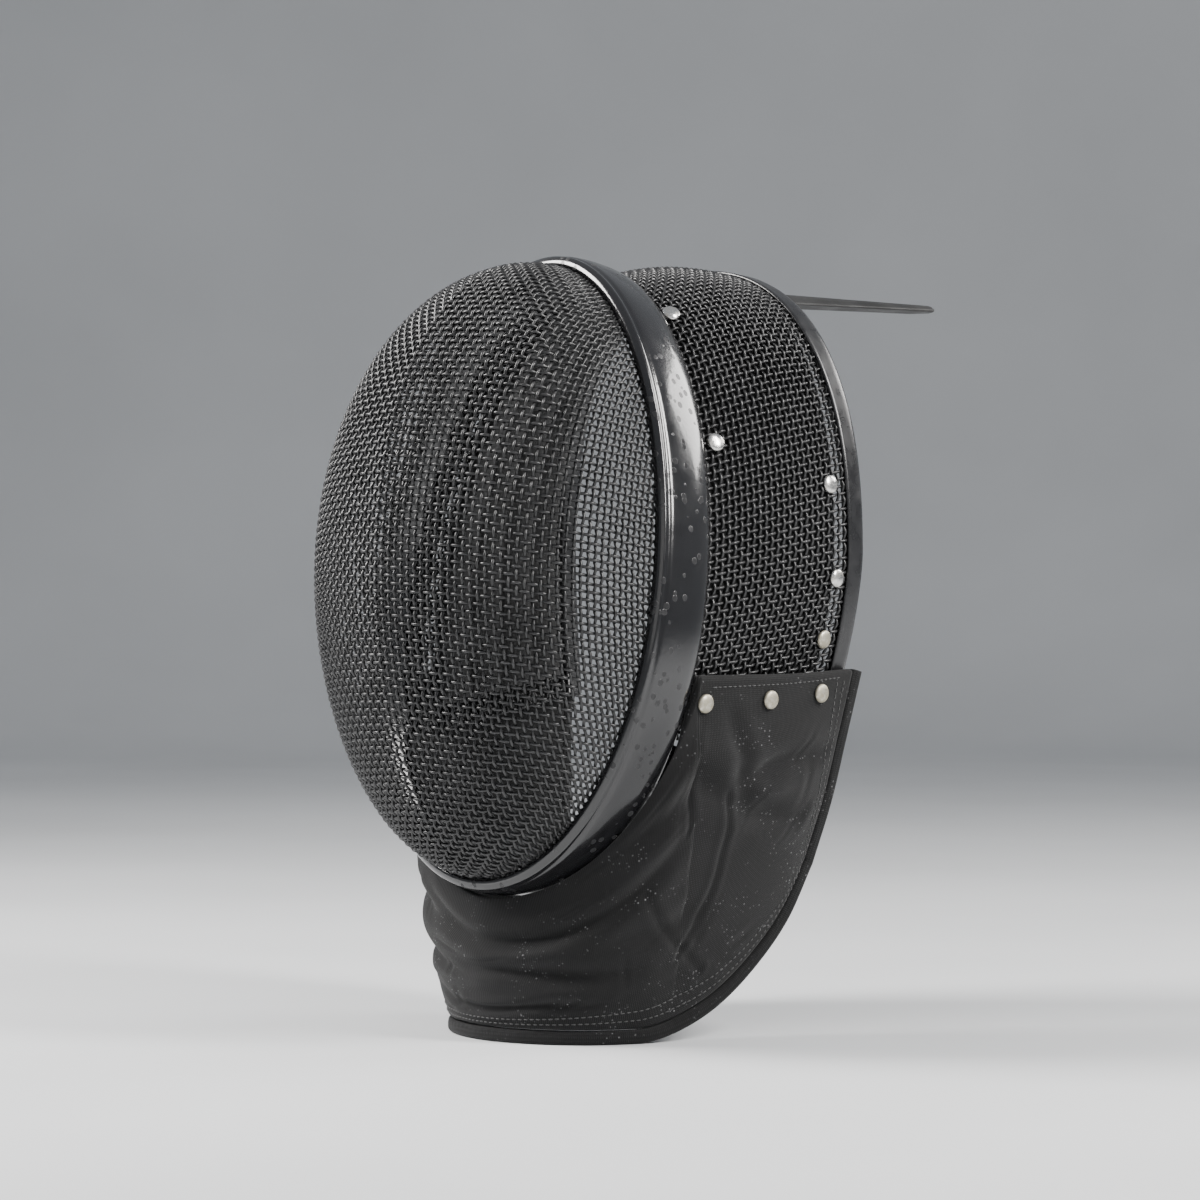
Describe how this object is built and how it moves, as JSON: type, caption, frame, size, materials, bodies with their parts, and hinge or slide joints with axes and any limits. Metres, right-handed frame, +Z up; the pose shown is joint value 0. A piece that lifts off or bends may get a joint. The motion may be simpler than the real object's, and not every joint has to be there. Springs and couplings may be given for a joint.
{
  "type": "fencing mask",
  "caption": "Fencing mask with a ridged front of woven wire, an open-backed wire hood, a wide rim band, a spring tongue behind and a padded cloth bib that it stands on.",
  "frame": {"origin": "on the floor, under the middle of the whole mask, from the front ridge to the tongue's tip", "axes": "+Z up, -Y the way the mask faces, +X the wearer's left"},
  "size_m": [0.2198, 0.4202, 0.3966],
  "materials": {
    "wire": "black painted woven steel wire, satin, with a soft glint at each crossing",
    "band": "smooth glossy black, with a few small droplet marks",
    "edge": "black edging, half gloss",
    "tongue": "spring strip in a smooth black covering, satin",
    "lining": "matt black padded lining",
    "cloth": "matt black close-woven cotton, padded, with soft folds and fine dust",
    "border": "turned edge of the same black cloth, double stitched",
    "rivet": "domed steel, partly dulled and yellowed"
  },
  "bodies": {
    "root": {"face_mesh": "wire", "crown_mesh": "wire", "rim_band": "band", "rear_edge_binding": "edge", "inner_pad": "lining", "tongue": "tongue", "bib": "cloth", "bib_border": "border", "rivet_left_brow": "rivet", "rivet_left_temple": "rivet", "rivet_left_rear_upper": "rivet", "rivet_left_rear_middle": "rivet", "rivet_left_rear_lower": "rivet", "rivet_left_bib_front": "rivet", "rivet_left_bib_middle": "rivet", "rivet_left_bib_rear": "rivet", "rivet_right_brow": "rivet", "rivet_right_temple": "rivet", "rivet_right_rear_upper": "rivet", "rivet_right_rear_middle": "rivet", "rivet_right_rear_lower": "rivet", "rivet_right_bib_front": "rivet", "rivet_right_bib_middle": "rivet", "rivet_right_bib_rear": "rivet"}
  },
  "joints": []
}
